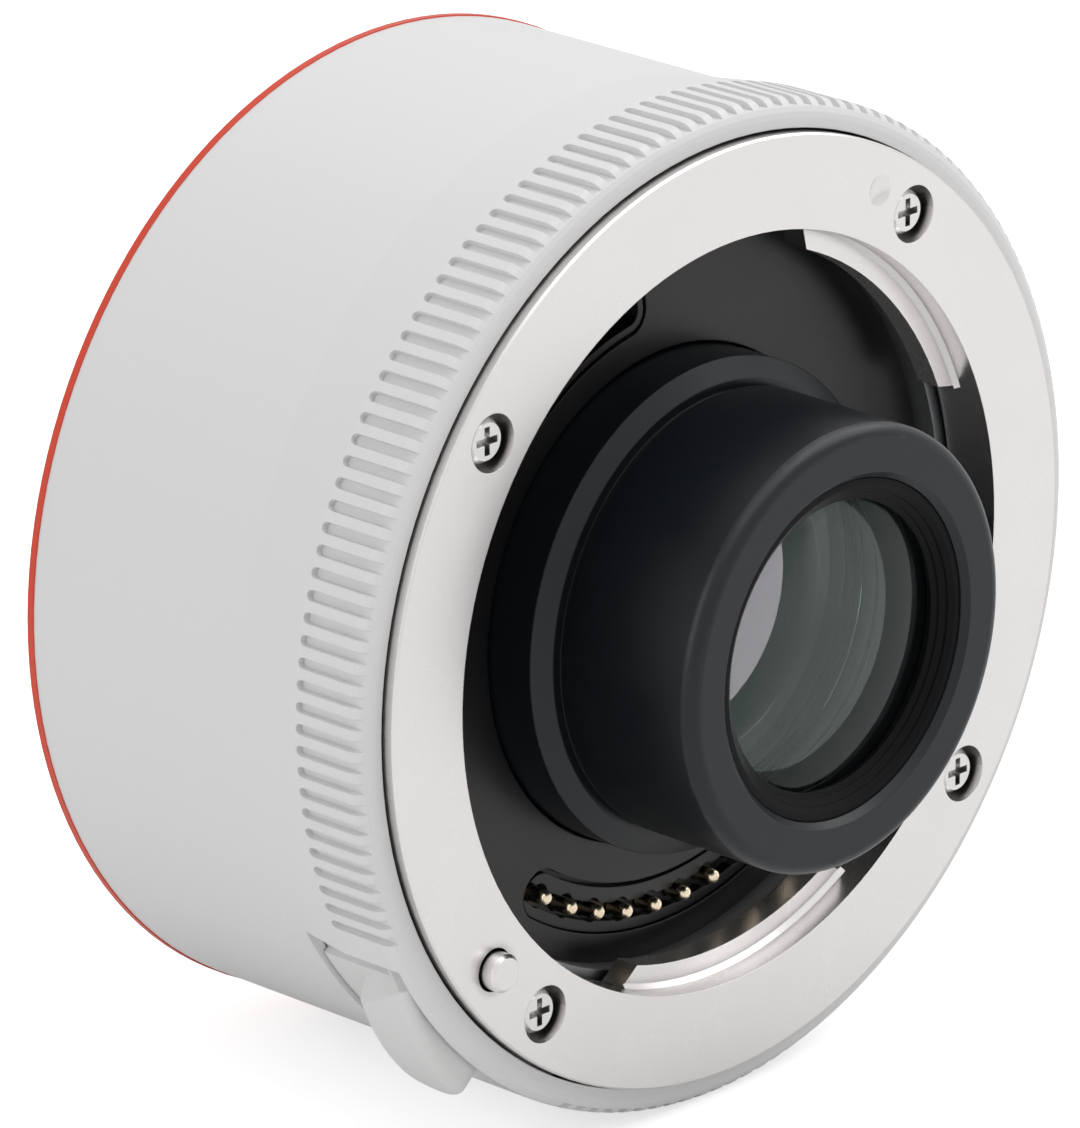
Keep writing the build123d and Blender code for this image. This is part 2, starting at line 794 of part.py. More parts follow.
# Two small screws that fasten the cam's tab to the lever from inside
lever_screw = screw(lever_screw_head_r, lever_screw_head, 0, lever_screw_r, lever_screw_length - fit_gap)
with BuildPart() as lever_screws:
    for angle in lever_screw_angles:
        seat = radially(tongue_inner_r - tab_thickness, angle, behind(lever_screw_depth))
        add(seat.location * Rotation(180, 0, 0) * lever_screw)
lever_screws.part.label = "lever_screws"
export_step(lever_screws.part, "parts/lever_screws.step")

# Coil spring that pushes the lever back, between the pocket's end and the cam
spring_span = cam_start - pocket_start
spring_chord = 2 * lever_spring_circle_r * sin(radians(spring_span / 2))
lever_coil = coil(
    lever_spring_r, lever_spring_wire, spring_chord - 2 * spring_end_gap, lever_spring_turns
)
with BuildPart() as lever_return_spring:
    spring_middle = radians(pocket_start + spring_span / 2)
    spring_x, spring_z = polar(lever_spring_circle_r, pocket_start)
    chord_way = (-sin(spring_middle), 0, cos(spring_middle))
    spring_y = behind(cam_front + cam_plate / 2)
    spring_seat = Plane(origin=(spring_x, spring_y, spring_z), x_dir=(0, 1, 0), z_dir=chord_way)
    add(spring_seat.offset(spring_end_gap).location * lever_coil)
lever_return_spring.part.label = "lever_return_spring"
export_step(lever_return_spring.part, "parts/lever_return_spring.step")

# Main frame: both mounts are screwed to its ends, and its web carries the optical cell
with BuildPart() as main_frame:
    with BuildSketch(Plane.XY):
        with BuildLine():
            Polyline(
                (frame_bore_r, behind(mount_plate)),
                (frame_flange_r, behind(mount_plate)),
                (frame_flange_r, behind(frame_flange_rear)),
                (frame_wall_r, behind(frame_flange_rear)),
                (frame_wall_r, behind(frame_rear - clamp_lip - rear_flange)),
                (rear_flange_r, behind(frame_rear - clamp_lip - rear_flange)),
                (rear_flange_r, behind(frame_rear - clamp_lip)),
                (frame_rear_r, behind(frame_rear - clamp_lip)),
                (frame_rear_r, behind(frame_rear)),
                (ledge_r, behind(frame_rear)),
                (ledge_r, behind(ledge_front)),
                (frame_inner_r, behind(ledge_front)),
                (frame_inner_r, behind(web_rear)),
                (web_inner_r, behind(web_rear)),
                (web_inner_r, behind(web_front)),
                (frame_inner_r, behind(web_front)),
                (frame_inner_r, behind(frame_flange_rear)),
                (baffle_r + fit_gap, behind(frame_flange_rear)),
                (baffle_r + fit_gap, behind(baffle_depth)),
                (shelf_r, behind(baffle_depth)),
                (shelf_r, behind(shelf_front)),
                (frame_bore_r, behind(shelf_front)),
                close=True,
            )
        make_face()
    revolve(axis=Axis.Y)
    with BuildSketch(front_plane(behind(web_front))):
        add(sector(pocket_inner_r, frame_flange_r + overrun, pocket_start, pocket_end))
    extrude(amount=web_front - pocket_front, mode=Mode.SUBTRACT)
    with BuildSketch(front_plane(behind(pocket_front))):
        with Locations(polar(lock_circle_r, lock_angle)):
            Circle(pin_hole_r)
    extrude(amount=pocket_front - mount_plate, mode=Mode.SUBTRACT)
    with BuildSketch(front_plane(behind(front_hole_rear))):
        with Locations(*[polar(screw_circle_r, angle) for angle in screw_angles]):
            Circle(screw_shank_r + thread_gap)
    extrude(amount=front_hole_rear - mount_plate, mode=Mode.SUBTRACT)
    with BuildSketch(front_plane(behind(frame_rear))):
        with Locations(*[polar(screw_circle_r, angle) for angle in screw_angles]):
            Circle(screw_shank_r + thread_gap)
    extrude(amount=rear_hole_length, mode=Mode.SUBTRACT)
    with BuildSketch(front_plane(behind(web_rear))):
        add(sector(cable_slot_inner_r, cable_slot_outer_r, *cable_slot_span))
        with Locations(*[polar(cell_screw_circle_r, angle) for angle in cell_screw_angles]):
            Circle(cell_screw_r + thread_gap)
    extrude(amount=web, mode=Mode.SUBTRACT)
    with BuildSketch(front_plane(behind(guide_rear))):
        with Locations(polar(lock_circle_r, lock_angle)):
            Circle(guide_r)
    extrude(amount=guide_rear - web_front, mode=Mode.SUBTRACT)
    with BuildSketch(front_plane(behind(ledge_front + board_screw_length))):
        with Locations(*[polar(board_screw_circle_r, angle) for angle in board_screw_angles]):
            Circle(board_screw_r + thread_gap)
    extrude(amount=board_screw_length, mode=Mode.SUBTRACT)
main_frame.part.label = "main_frame"
export_step(main_frame.part, "parts/main_frame.step")

# Black plate in the throat, with a slot for the contacts and a curved window
with BuildPart() as front_light_baffle:
    with BuildSketch(front_plane(behind(baffle_depth + baffle_plate))):
        Circle(baffle_r)
        Circle(baffle_bore_r, mode=Mode.SUBTRACT)
        add(
            curved_slot(contact_slot_inner_r, contact_slot_outer_r, *contact_slot_span),
            mode=Mode.SUBTRACT,
        )
        add(window_shape(), mode=Mode.SUBTRACT)
    extrude(amount=baffle_plate)
    with BuildSketch(front_plane(behind(baffle_depth))):
        add(window_shape(window_rim + window_groove))
        add(window_shape(window_rim), mode=Mode.SUBTRACT)
    extrude(amount=-window_groove_depth, mode=Mode.SUBTRACT)
front_light_baffle.part.label = "front_light_baffle"
export_step(front_light_baffle.part, "parts/front_light_baffle.step")

# Block that guides the ten spring contacts, with one channel behind them for their springs
contact_angles = [
    contact_middle + (k - (contact_count - 1) / 2) * contact_pitch for k in range(contact_count)
]
with BuildPart() as front_contact_block:
    with BuildSketch(front_plane(behind(block_rear))):
        add(curved_slot(block_inner_r, block_outer_r, *block_span))
    extrude(amount=block_rear - block_front)
    with BuildSketch(front_plane(behind(block_front))):
        channel_inner_r = contact_circle_r - channel_inner_reach
        channel_outer_r = contact_circle_r + channel_outer_reach
        add(sector(channel_inner_r, channel_outer_r, *contact_slot_span))
        with Locations(*[polar(contact_circle_r, angle) for angle in contact_angles]):
            Circle(scallop_r)
    extrude(amount=-channel_depth, mode=Mode.SUBTRACT)
    with BuildSketch(front_plane(behind(block_ledge_rear))):
        add(
            sector(
                contact_slot_inner_r - block_ledge,
                contact_slot_outer_r + block_ledge,
                contact_slot_span[0],
                contact_slot_span[1],
            )
        )
    extrude(amount=block_ledge_rear - block_ledge_front)
    with BuildSketch(front_plane(behind(block_rear))):
        add(
            sector(
                contact_circle_r - contact_collar_r - spring_channel_gap,
                contact_circle_r + contact_collar_r + spring_channel_gap,
                contact_angles[0] - channel_turn,
                contact_angles[-1] + channel_turn,
            )
        )
    extrude(amount=block_rear - contact_collar_front, mode=Mode.SUBTRACT)
    with BuildSketch(front_plane(behind(contact_collar_front))):
        with Locations(*[polar(contact_circle_r, angle) for angle in contact_angles]):
            Circle(contact_hole_r)
    extrude(amount=contact_collar_front - block_front, mode=Mode.SUBTRACT)
front_contact_block.part.label = "front_contact_block"
export_step(front_contact_block.part, "parts/front_contact_block.step")

# Ten spring contacts, each free to slide in the block
for number, angle in enumerate(contact_angles, start=1):
    with BuildPart() as contact_pin:
        with BuildSketch(Plane.XY):
            with BuildLine():
                Polyline(
                    (0, behind(contact_tip_depth)),
                    (contact_r, behind(contact_tip_depth)),
                    (contact_r, behind(contact_collar_front)),
                    (contact_collar_r, behind(contact_collar_front)),
                    (contact_collar_r, behind(contact_collar_front + contact_collar)),
                    (0, behind(contact_collar_front + contact_collar)),
                    close=True,
                )
            make_face()
            tip_corner = vertices().sort_by(Axis.Y)[:2].sort_by(Axis.X)[-1]
            fillet(tip_corner, contact_tip_round)
        revolve(axis=Axis.Y)
    contact_x, contact_z = polar(contact_circle_r, angle)
    contact_pin.part.position = (contact_x, 0, contact_z)
    contact_pin.part.label = f"contact_pin_{number:02d}"
    export_step(contact_pin.part, f"parts/contact_pin_{number:02d}.step")

# Ten bent leaf springs that press the contacts out, one group
with BuildPart() as contact_pin_springs:
    leaf_front = behind(contact_collar_front + contact_collar)
    leaf_rear = behind(block_rear) - contact_leaf_thickness
    for angle in contact_angles:
        with BuildSketch(radial_plane(angle)):
            with BuildLine():
                near = contact_circle_r - contact_leaf_reach / 2
                far = contact_circle_r + contact_leaf_reach / 2
                bend_y = (leaf_front + leaf_rear) / 2
                Polyline(
                    (near, leaf_front),
                    (far, bend_y),
                    (near, leaf_rear),
                    (near, leaf_rear + contact_leaf_thickness),
                    (far + contact_leaf_thickness, bend_y),
                    (near + contact_leaf_thickness, leaf_front),
                    close=True,
                )
            make_face()
        extrude(amount=contact_leaf_width / 2, both=True)
contact_pin_springs.part.label = "contact_pin_springs"
export_step(contact_pin_springs.part, "parts/contact_pin_springs.step")

# Small curved circuit board behind the contact block
with BuildPart() as front_contact_board:
    with BuildSketch(front_plane(behind(board_rear))):
        add(
            sector(
                contact_slot_inner_r - block_ledge, contact_slot_outer_r + block_ledge, *contact_slot_span
            )
        )
    extrude(amount=board_thickness)
front_contact_board.part.label = "front_contact_board"
export_step(front_contact_board.part, "parts/front_contact_board.step")

# Glass: five groups, three in the nose barrel and two in the cell behind it
front_curve = front_glass_share[0] * nose_glass_r
glass_1_front = retainer_rear + seat_drop(front_curve, nose_glass_r, retainer_rear_r) + glass_gap
spacer_front = rear_edge(glass_1_front, nose_glass_r, front_glass_share) + glass_gap
spacer_rear = spacer_front + front_spacer_length
glass_2_front = spacer_rear + glass_gap
glass_3_front = rear_edge(glass_2_front, nose_glass_r, second_glass_share) + glass_gap
nose_lip_front = rear_edge(glass_3_front, nose_glass_r, third_glass_share) + glass_gap
nose_rear = nose_lip_front + nose_lip
cell_lip_rear = nose_rear + fit_gap + cell_lip
cell_curve = fourth_glass_share[0] * cell_glass_r
glass_4_front = cell_lip_rear + seat_drop(cell_curve, cell_glass_r, cell_lip_r) + glass_gap
cell_spacer_front = rear_edge(glass_4_front, cell_glass_r, fourth_glass_share) + glass_gap
cell_spacer_rear = cell_spacer_front + rear_spacer_length
glass_5_front = cell_spacer_rear + glass_gap
rear_retainer_front = rear_edge(glass_5_front, cell_glass_r, rear_glass_share) + glass_gap
glasses = (
    (glass_1_front, nose_glass_r, front_glass_share),
    (glass_2_front, nose_glass_r, second_glass_share),
    (glass_3_front, nose_glass_r, third_glass_share),
    (glass_4_front, cell_glass_r, fourth_glass_share),
    (glass_5_front, cell_glass_r, rear_glass_share),
)
for number, (front, radius, shape) in enumerate(glasses, start=1):
    with BuildPart() as glass:
        with BuildSketch(Plane.XY):
            add(glass_section(front, radius, shape))
        revolve(axis=Axis.Y)
    glass.part.label = f"glass_group_{number}"
    export_step(glass.part, f"parts/glass_group_{number}.step")

# Spacer rings between the glasses
with BuildPart() as front_spacer:
    with BuildSketch(Plane.XY):
        add(ring_section(nose_glass_r - spacer_wall, nose_glass_r, spacer_front, spacer_rear))
    revolve(axis=Axis.Y)
front_spacer.part.label = "front_spacer"
export_step(front_spacer.part, "parts/front_spacer.step")

with BuildPart() as rear_spacer:
    with BuildSketch(Plane.XY):
        add(ring_section(cell_glass_r - spacer_wall, cell_glass_r, cell_spacer_front, cell_spacer_rear))
    revolve(axis=Axis.Y)
rear_spacer.part.label = "rear_spacer"
export_step(rear_spacer.part, "parts/rear_spacer.step")

# Nose barrel, which reaches into the lens in front
with BuildPart() as nose_barrel:
    nose_front = lens_face - nose_length
    with BuildSketch(Plane.XY):
        with BuildLine():
            Polyline(
                (nose_bore_r, nose_front + nose_mouth),
                (nose_bore_r + nose_mouth, nose_front),
                (nose_r, nose_front),
                (nose_r, lens_face),
                (nose_r, behind(nose_groove_depth)),
                (nose_groove_r, behind(nose_groove_depth)),
                (nose_groove_r, behind(nose_chamfer_depth)),
                (nose_chamfer_r, behind(nose_chamfer_depth)),
                (nose_base_r, behind(nose_base_depth)),
                (nose_base_r, behind(nose_neck_depth)),
                (nose_neck_r, behind(nose_neck_depth)),
                (nose_neck_r, nose_rear),
                (nose_lip_r, nose_rear),
                (nose_lip_r, nose_lip_front),
                (nose_bore_r, nose_lip_front),
                close=True,
            )
        make_face()
        fillet(vertices().filter_by_position(Axis.X, nose_r, nose_r).sort_by(Axis.Y)[0], nose_round)
    revolve(axis=Axis.Y)
nose_barrel.part.label = "nose_barrel"
export_step(nose_barrel.part, "parts/nose_barrel.step")

# Ring that holds the front glass, with a funnel-shaped mouth
with BuildPart() as front_retaining_ring:
    with BuildSketch(Plane.XY):
        with BuildLine():
            funnel_fall = retainer_front_r - retainer_rear_r
            funnel = []
            for upper, lower in zip(retainer_step_shares, retainer_step_shares[1:]):
                step_r = retainer_front_r - upper * funnel_fall
                funnel.append((step_r, retainer_front + upper * retainer_mouth))
                foot_r = retainer_front_r - lower * funnel_fall
                funnel.append((foot_r, retainer_front + lower * retainer_mouth - retainer_step))
            Polyline(
                *funnel,
                (retainer_rear_r, retainer_rear),
                (nose_glass_r, retainer_rear),
                (nose_glass_r, retainer_front),
                close=True,
            )
        make_face()
    revolve(axis=Axis.Y)
front_retaining_ring.part.label = "front_retaining_ring"
export_step(front_retaining_ring.part, "parts/front_retaining_ring.step")

# Optical cell: it takes the nose barrel in front and is screwed to the frame's web by its flange
with BuildPart() as lens_cell:
    with BuildSketch(Plane.XY):
        with BuildLine():
            Polyline(
                (nose_neck_r + fit_gap / 2, cell_front),
                (cell_r, cell_front),
                (cell_r, behind(web_rear)),
                (cell_flange_r, behind(web_rear)),
                (cell_flange_r, behind(cell_flange_rear)),
                (cell_rear_r, behind(cell_flange_rear)),
                (cell_rear_r, cell_rear),
                (cell_bore_r, cell_rear),
                (cell_bore_r, cell_lip_rear),
                (cell_lip_r, cell_lip_rear),
                (cell_lip_r, nose_rear + fit_gap),
                (nose_neck_r + fit_gap / 2, nose_rear + fit_gap),
                close=True,
            )
        make_face()
    revolve(axis=Axis.Y)
    with BuildSketch(front_plane(behind(cell_flange_rear))):
        with Locations(*[polar(cell_screw_circle_r, angle) for angle in cell_screw_angles]):
            Circle(cell_screw_r + thread_gap)
    extrude(amount=cell_flange, mode=Mode.SUBTRACT)
lens_cell.part.label = "lens_cell"
export_step(lens_cell.part, "parts/lens_cell.step")

# Ring that holds the rear glass
with BuildPart() as rear_retaining_ring:
    with BuildSketch(Plane.XY):
        add(
            ring_section(
                rear_retainer_r, cell_glass_r, rear_retainer_front, rear_retainer_front + rear_retainer_length
            )
        )
    revolve(axis=Axis.Y)
rear_retaining_ring.part.label = "rear_retaining_ring"
export_step(rear_retaining_ring.part, "parts/rear_retaining_ring.step")

# Screws that hold the cell to the web, from behind
cell_screw = screw(cell_screw_head_r, cell_screw_head, 0, cell_screw_r, cell_screw_length)
with BuildPart() as cell_screws:
    for angle in cell_screw_angles:
        add(facing_camera(cell_screw_circle_r, angle, behind(cell_flange_rear)).location * cell_screw)
cell_screws.part.label = "cell_screws"
export_step(cell_screws.part, "parts/cell_screws.step")

# Camera-side mount: a plate, a tube and three tabs that lock behind the camera's lugs
with BuildPart() as rear_mount:
    with BuildSketch(Plane.XY):
        add(ring_section(tube_bore_r, rear_mount_r, -rear_plate, 0))
        add(ring_section(tube_bore_r, tube_r, 0, tube_length))
    revolve(axis=Axis.Y)
    with BuildSketch(front_plane(tube_length)):
        for lug_start, lug_end in lug_spans:
            add(sector(tube_r - fit_gap, tab_r, lug_start, lug_end))
    extrude(amount=tab_height)
    with BuildSketch(front_plane(0)):
        with Locations(*[polar(screw_circle_r, angle) for angle in screw_angles]):
            Circle(screw_seat_r)
    extrude(amount=screw_seat_depth, mode=Mode.SUBTRACT)
    with BuildSketch(front_plane(0)):
        with Locations(*[polar(screw_circle_r, angle) for angle in screw_angles]):
            Circle(screw_shank_r + fit_gap)
    extrude(amount=rear_plate, mode=Mode.SUBTRACT)
    with BuildSketch(front_plane(0)):
        with Locations(polar(lock_circle_r, lock_angle)):
            Circle(notch_r)
    extrude(amount=notch_depth, mode=Mode.SUBTRACT)
rear_mount.part.label = "rear_mount"
export_step(rear_mount.part, "parts/rear_mount.step")

# The four screws that hold the camera-side mount to the frame
rear_screw = screw(
    screw_head_r, screw_head_height, screw_head_bevel, screw_shank_r, rear_screw_length, cross=True
)
with BuildPart() as rear_mount_screws:
    for angle in screw_angles:
        add(facing_camera(screw_circle_r, angle, -screw_seat_depth).location * rear_screw)
rear_mount_screws.part.label = "rear_mount_screws"
export_step(rear_mount_screws.part, "parts/rear_mount_screws.step")

# Camera-side light baffle: a plate with a rectangular opening, and a short skirt round the cell
with BuildPart() as rear_light_baffle:
    with BuildSketch(front_plane(mask_front + mask_plate)):
        Circle(tube_bore_r - fit_gap)
        RectangleRounded(mask_width, mask_height, mask_round, mode=Mode.SUBTRACT)
        add(sector(mask_cut_r, tube_bore_r + overrun, *mask_cut_span), mode=Mode.SUBTRACT)
    extrude(amount=mask_plate)
    with BuildSketch(front_plane(mask_front)):
        Circle(mask_skirt_r)
        Circle(mask_skirt_r - mask_skirt_wall, mode=Mode.SUBTRACT)
    extrude(amount=mask_skirt_length)
rear_light_baffle.part.label = "rear_light_baffle"
export_step(rear_light_baffle.part, "parts/rear_light_baffle.step")

# Camera-side contact block, with a foot that is held against the mount's plate
with BuildPart() as rear_contact_block:
    with BuildSketch(front_plane(rear_block_end)):
        add(sector(rear_block_inner_r, rear_block_outer_r, *rear_block_span))
    extrude(amount=rear_block_end - behind(rear_block_front))
    with BuildSketch(front_plane(-rear_plate)):
        add(sector(rear_block_inner_r, rear_foot_r, *rear_block_span))
    extrude(amount=rear_foot)
rear_contact_block.part.label = "rear_contact_block"
export_step(rear_contact_block.part, "parts/rear_contact_block.step")

# Ten gilded pads on the block, which meet the camera's spring contacts
with BuildPart() as rear_contact_pads:
    for angle in contact_angles:
        with BuildSketch(facing_camera(contact_circle_r, angle, rear_block_end)):
            Rectangle(pad_length, pad_width, rotation=-angle)
        extrude(amount=pad_thickness)
rear_contact_pads.part.label = "rear_contact_pads"
export_step(rear_contact_pads.part, "parts/rear_contact_pads.step")

# Main circuit board, a C round the cell that lies on the frame's ledge
with BuildPart() as main_circuit_board:
    with BuildSketch(front_plane(behind(ledge_front))):
        add(sector(main_board_inner_r, main_board_r, *main_board_span))
        with Locations(*[polar(board_screw_circle_r, angle) for angle in board_screw_angles]):
            Circle(board_screw_r + thread_gap, mode=Mode.SUBTRACT)
    extrude(amount=main_board)
main_circuit_board.part.label = "main_circuit_board"
export_step(main_circuit_board.part, "parts/main_circuit_board.step")

# Three screws that hold the main board on the ledge
board_screw = screw(board_screw_head_r, board_screw_head, 0, board_screw_r, board_screw_length)
with BuildPart() as board_screws:
    for angle in board_screw_angles:
        seat = facing_lens(board_screw_circle_r, angle, behind(ledge_front - main_board))
        add(seat.location * board_screw)
board_screws.part.label = "board_screws"
export_step(board_screws.part, "parts/board_screws.step")

# Flexible cable from the front board, through the web and past the main board to the rear block
with BuildPart() as flex_cable:
    cable_front, cable_rear = behind(board_rear), behind(rear_block_front)
    with BuildSketch(Plane.YZ):
        with BuildLine():
            inner = -cable_r
            outer = -cable_r - cable_thickness
            Polyline(
                (cable_front, inner + cable_foot),
                (cable_front, outer),
                (cable_rear, outer),
                (cable_rear, inner + cable_foot),
                (cable_rear - cable_thickness, inner + cable_foot),
                (cable_rear - cable_thickness, inner),
                (cable_front + cable_thickness, inner),
                (cable_front + cable_thickness, inner + cable_foot),
                close=True,
            )
        make_face()
    extrude(amount=cable_width / 2, both=True)
flex_cable.part.label = "flex_cable"
export_step(flex_cable.part, "parts/flex_cable.step")
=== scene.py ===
# %% [markdown]
# # A camera teleconverter, ready for its portrait
# The imported model brings every piece at its real size, so this lesson is about finish and light:
# what each surface is made of, how it was worked, and how a studio shows it.
# Loading comes first, because every later step asks the loaded pieces where a piece is.

import math

import bmesh
import bpy
from mathutils import Matrix, Vector


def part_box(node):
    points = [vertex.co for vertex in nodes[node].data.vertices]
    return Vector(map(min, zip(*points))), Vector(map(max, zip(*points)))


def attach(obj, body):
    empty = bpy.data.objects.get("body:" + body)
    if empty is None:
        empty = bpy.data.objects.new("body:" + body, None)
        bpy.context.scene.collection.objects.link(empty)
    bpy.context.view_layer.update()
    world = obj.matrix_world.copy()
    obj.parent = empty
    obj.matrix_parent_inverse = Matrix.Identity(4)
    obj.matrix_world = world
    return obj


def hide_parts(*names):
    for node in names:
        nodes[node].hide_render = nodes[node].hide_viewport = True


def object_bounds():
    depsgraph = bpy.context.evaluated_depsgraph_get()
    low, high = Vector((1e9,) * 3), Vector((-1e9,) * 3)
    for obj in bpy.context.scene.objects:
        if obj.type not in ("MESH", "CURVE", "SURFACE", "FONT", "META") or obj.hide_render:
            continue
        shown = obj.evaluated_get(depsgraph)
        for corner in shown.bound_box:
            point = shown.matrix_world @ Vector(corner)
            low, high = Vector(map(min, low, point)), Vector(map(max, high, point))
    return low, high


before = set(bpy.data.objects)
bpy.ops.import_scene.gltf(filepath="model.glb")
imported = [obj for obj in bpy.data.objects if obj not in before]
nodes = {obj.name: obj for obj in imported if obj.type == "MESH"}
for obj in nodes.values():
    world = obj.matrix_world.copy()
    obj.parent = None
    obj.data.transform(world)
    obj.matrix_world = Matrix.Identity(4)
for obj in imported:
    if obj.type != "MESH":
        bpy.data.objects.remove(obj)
cad_box = [list(corner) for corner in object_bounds()]
mm = 0.001
print("Pieces:", len(nodes))

# %% [markdown]
# ## The camera
# A long lens far away keeps the circles of the mount nearly true ellipses, as in the photograph.
# The view is set by two angles and a distance, because those are easier to check than a position.
# The lens side faces -Y, so the camera stands in front of it, to its left and a little above.
# The Standard view shows colours as they are lit, so a white ground stays white.

# %% Camera from its angles
view_azimuth = math.radians(-46.72)
view_elevation = math.radians(20.2)
view_distance = 583.3 * mm
ring_face = Vector((0, -29.2 * mm, 0))
aside = -11.41 * mm
above = 2.98 * mm

to_camera = Vector((
    math.sin(view_azimuth) * math.cos(view_elevation),
    -math.cos(view_azimuth) * math.cos(view_elevation),
    math.sin(view_elevation),
))
to_right = Vector((math.cos(view_azimuth), math.sin(view_azimuth), 0))
to_top = to_camera.cross(to_right)
lens = bpy.data.cameras.new("portrait_lens")
lens.sensor_fit = "HORIZONTAL"
lens.sensor_width = 36
lens.lens = 333.33
lens.clip_start = 10 * mm
lens.clip_end = 20
camera = bpy.data.objects.new("portrait_camera", lens)
bpy.context.scene.collection.objects.link(camera)
turned = Matrix((to_right, to_top, to_camera)).transposed()
camera.matrix_world = turned.to_4x4()
camera.location = ring_face + aside * to_right + above * to_top + view_distance * to_camera
bpy.context.scene.camera = camera
bpy.context.scene.view_settings.view_transform = "Standard"
print("Camera at", [round(v, 3) for v in camera.location])

# %% [markdown]
# ## Small helpers for materials
# A material is a tree of nodes, and most of its lines only join one socket to another.
# Five short helpers keep those lines readable. They know nothing about any one material.

# %% Helpers that make and join nodes
def add_node(tree, kind, **settings):
    """A new node with some of its settings made."""
    node = tree.nodes.new(kind)
    for name, value in settings.items():
        setattr(node, name, value)
    return node


def feed(tree, value, socket):
    """Joins a socket to another, or sets it to a plain value."""
    if isinstance(value, bpy.types.NodeSocket):
        tree.links.new(value, socket)
    else:
        socket.default_value = value


def maths(tree, operation, *values, clamp=False):
    """One Math node, with sockets or plain numbers going in."""
    node = add_node(tree, "ShaderNodeMath", operation=operation, use_clamp=clamp)
    for value, socket in zip(values, node.inputs):
        feed(tree, value, socket)
    return node.outputs["Value"]


def blend_colours(tree, mask, low, high):
    """A colour that goes from low to high as the mask rises."""
    node = add_node(tree, "ShaderNodeMix", data_type="RGBA")
    # A Mix node has sockets for each kind of data: after the mask, these are the ones for colours
    for value, index in ((mask, 0), (low, 6), (high, 7)):
        feed(tree, value, node.inputs[index])
    return node.outputs[2]


def spread(tree, value, low, high):
    """A number from 0 to 1 stretched to run from low to high."""
    node = add_node(tree, "ShaderNodeMapRange")
    feed(tree, value, node.inputs["Value"])
    node.inputs["To Min"].default_value = low
    node.inputs["To Max"].default_value = high
    return node.outputs["Result"]


print("Helpers ready")

# %% [markdown]
# ## Effects that several materials share
# Paint, plastic and steel differ, yet all of them have some grain, some soft cloudiness where the
# surface isn't perfectly even, and edges that a tool or a hand has eased.
# Each effect is a node group with its own inputs, so one material can use it strongly and the next
# one hardly at all. Groups put out masks, heights and a normal only, and each material keeps its
# own shader.

# %% Helpers that start and place a group
def start_group(name, inputs, outputs):
    """A node group with number inputs (name, start value) and named outputs. Normal is a vector."""
    tree = bpy.data.node_groups.new(name, "ShaderNodeTree")
    for label, value in inputs:
        socket = tree.interface.new_socket(label, in_out="INPUT", socket_type="NodeSocketFloat")
        socket.default_value = value
    for label in outputs:
        kind = "NodeSocketVector" if label == "Normal" else "NodeSocketFloat"
        tree.interface.new_socket(label, in_out="OUTPUT", socket_type=kind)
    entry = add_node(tree, "NodeGroupInput")
    leave = add_node(tree, "NodeGroupOutput")
    return tree, entry.outputs, leave.inputs


def place_group(tree, group, **values):
    """One use of a group in a material. Underscores stand for the spaces in its input names."""
    node = add_node(tree, "ShaderNodeGroup", node_tree=group)
    for label, value in values.items():
        feed(tree, value, node.inputs[label.replace("_", " ")])
    return node.outputs


print("Group helpers ready")

# %% Grain group
# Fine bumps in the skin of paint or moulded plastic
grain, given, result = start_group("fine_grain", [("Size mm", 0.2), ("Softness", 0.5)], ["Height"])
place = add_node(grain, "ShaderNodeTexCoord").outputs["Object"]
grain_noise = add_node(grain, "ShaderNodeTexNoise", noise_dimensions="3D")
feed(grain, place, grain_noise.inputs["Vector"])
feed(grain, maths(grain, "DIVIDE", 1 / mm, given["Size mm"]), grain_noise.inputs["Scale"])
feed(grain, 2.0, grain_noise.inputs["Detail"])
feed(grain, given["Softness"], grain_noise.inputs["Roughness"])
feed(grain, grain_noise.outputs["Fac"], result["Height"])
print("Group made:", grain.name)

# %% Cloud group
# The slow unevenness of a coat, which shows in its shine more than in its colour
cloud, given, result = start_group("soft_cloud", [("Size mm", 9), ("Contrast", 1)], ["Mask"])
place = add_node(cloud, "ShaderNodeTexCoord").outputs["Object"]
cloud_noise = add_node(cloud, "ShaderNodeTexNoise", noise_dimensions="3D")
feed(cloud, place, cloud_noise.inputs["Vector"])
feed(cloud, maths(cloud, "DIVIDE", 1 / mm, given["Size mm"]), cloud_noise.inputs["Scale"])
feed(cloud, 3.0, cloud_noise.inputs["Detail"])
centred = maths(cloud, "SUBTRACT", cloud_noise.outputs["Fac"], 0.5)
widened = maths(cloud, "MULTIPLY", centred, given["Contrast"])
feed(cloud, maths(cloud, "ADD", widened, 0.5, clamp=True), result["Mask"])
print("Group made:", cloud.name)

# %% Edge group
# A mask that is 1 on a sharp edge and falls to 0 on the flat beside it, and the surface's normal
# with that edge rounded over
edge_inputs = [("Width mm", 0.1), ("Gain", 4)]
edges, given, result = start_group("eased_edges", edge_inputs, ["Mask", "Normal"])
rounded = add_node(edges, "ShaderNodeBevel", samples=4)
feed(edges, maths(edges, "MULTIPLY", given["Width mm"], mm), rounded.inputs["Radius"])
flat = add_node(edges, "ShaderNodeNewGeometry").outputs["Normal"]
compare = add_node(edges, "ShaderNodeVectorMath", operation="DOT_PRODUCT")
feed(edges, rounded.outputs["Normal"], compare.inputs[0])
feed(edges, flat, compare.inputs[1])
turned_away = maths(edges, "SUBTRACT", 1, compare.outputs["Value"])
feed(edges, maths(edges, "MULTIPLY", turned_away, given["Gain"], clamp=True), result["Mask"])
feed(edges, rounded.outputs["Normal"], result["Normal"])
print("Group made:", edges.name)
